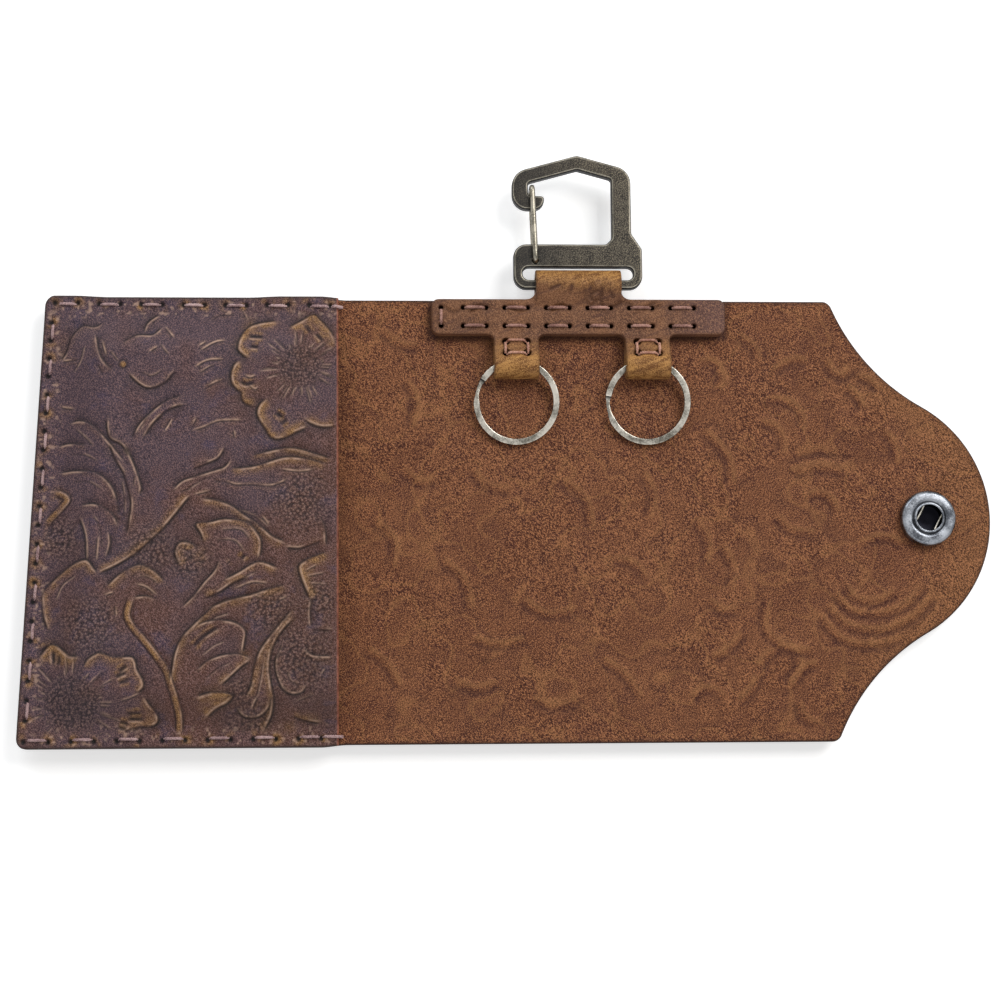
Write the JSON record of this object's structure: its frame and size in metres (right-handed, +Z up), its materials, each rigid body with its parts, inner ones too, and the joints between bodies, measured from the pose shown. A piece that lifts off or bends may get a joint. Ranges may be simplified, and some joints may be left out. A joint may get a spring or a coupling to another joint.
{
  "type": "key case",
  "caption": "Folding leather key case, shown open: sewn card pocket, holder strip with split rings, wire-gate hook and a curved flap that closes with a snap.",
  "frame": {"origin": "centre of the middle panel's back face, which lies on the table when the case is open", "axes": "+X along the open case from the pocket to the flap, +Y towards the hook, +Z up from the table"},
  "size_m": [0.2142, 0.131, 0.012],
  "materials": {
    "body_leather": "rust-brown pull-up leather, waxed, grain with faint embossing, burnished edges",
    "tooled_leather": "dark purple-brown embossed leather with tan rubbed relief",
    "holder_leather": "brown waxed leather, lighter where it bends",
    "thread": "twisted waxed thread",
    "antique_bronze": "dark antique bronze, rubbed bright along the edges",
    "ring_steel": "polished nickel-plated steel wire",
    "snap_nickel": "nickel plate, slightly blackened in the recesses",
    "spring_steel": "bright spring wire"
  },
  "bodies": {
    "middle": {"middle_panel": "body_leather", "holder_strip": "holder_leather", "holder_thread": "thread", "tab_thread_left": "thread", "tab_thread_right": "thread"},
    "left_spine": {"left_spine": "body_leather"},
    "left_cover": {"left_panel": "body_leather", "pocket_panel": "tooled_leather", "pocket_thread_top": "thread", "pocket_thread_side": "thread", "pocket_thread_bottom": "thread", "snap_stud": "snap_nickel", "snap_post": "snap_nickel"},
    "right_spine": {"right_spine": "body_leather"},
    "flap": {"closing_flap": "body_leather", "snap_cap": "snap_nickel", "snap_socket": "snap_nickel", "snap_spring": "spring_steel"},
    "hook": {"hook_frame": "antique_bronze"},
    "gate": {"hook_gate": "antique_bronze"},
    "ring_left": {"split_ring_left": "ring_steel"},
    "ring_right": {"split_ring_right": "ring_steel"}
  },
  "joints": [
    {"name": "fold_left_inner", "type": "hinge", "parent": "middle", "child": "left_spine", "pos_m": [-0.0358, 0, 0.002], "axis": [0, 1, 0], "range_deg": [0, 90]},
    {"name": "fold_left_outer", "type": "hinge", "parent": "left_spine", "child": "left_cover", "pos_m": [-0.0498, 0, 0.002], "axis": [0, 1, 0], "range_deg": [0, 90]},
    {"name": "fold_right_inner", "type": "hinge", "parent": "middle", "child": "right_spine", "pos_m": [0.0358, 0, 0.002], "axis": [0, -1, 0], "range_deg": [0, 90]},
    {"name": "fold_right_outer", "type": "hinge", "parent": "right_spine", "child": "flap", "pos_m": [0.0561, 0, 0.002], "axis": [0, -1, 0], "range_deg": [0, 90]},
    {"name": "hook_swing", "type": "hinge", "parent": "middle", "child": "hook", "pos_m": [0.0015, 0.05245, 0.00345], "axis": [1, 0, 0], "range_deg": [-90, 90]},
    {"name": "gate_pivot", "type": "hinge", "parent": "hook", "child": "gate", "pos_m": [-0.008, 0.0577, 0.00345], "axis": [0, 0, -1], "range_deg": [0, 35], "stiffness_Nm_per_rad": 0.002, "springref_deg": -8.59},
    {"name": "ring_swing_left", "type": "hinge", "parent": "middle", "child": "ring_left", "pos_m": [-0.0125, 0.03405, 0.0051], "axis": [1, 0, 0], "range_deg": [-150, 0]},
    {"name": "ring_swing_right", "type": "hinge", "parent": "middle", "child": "ring_right", "pos_m": [0.0167, 0.03405, 0.0051], "axis": [1, 0, 0], "range_deg": [-150, 0]}
  ],
  "couplings": [
    {"joint": "fold_left_outer", "follows": "fold_left_inner", "ratio": 1},
    {"joint": "fold_right_outer", "follows": "fold_right_inner", "ratio": 1}
  ]
}
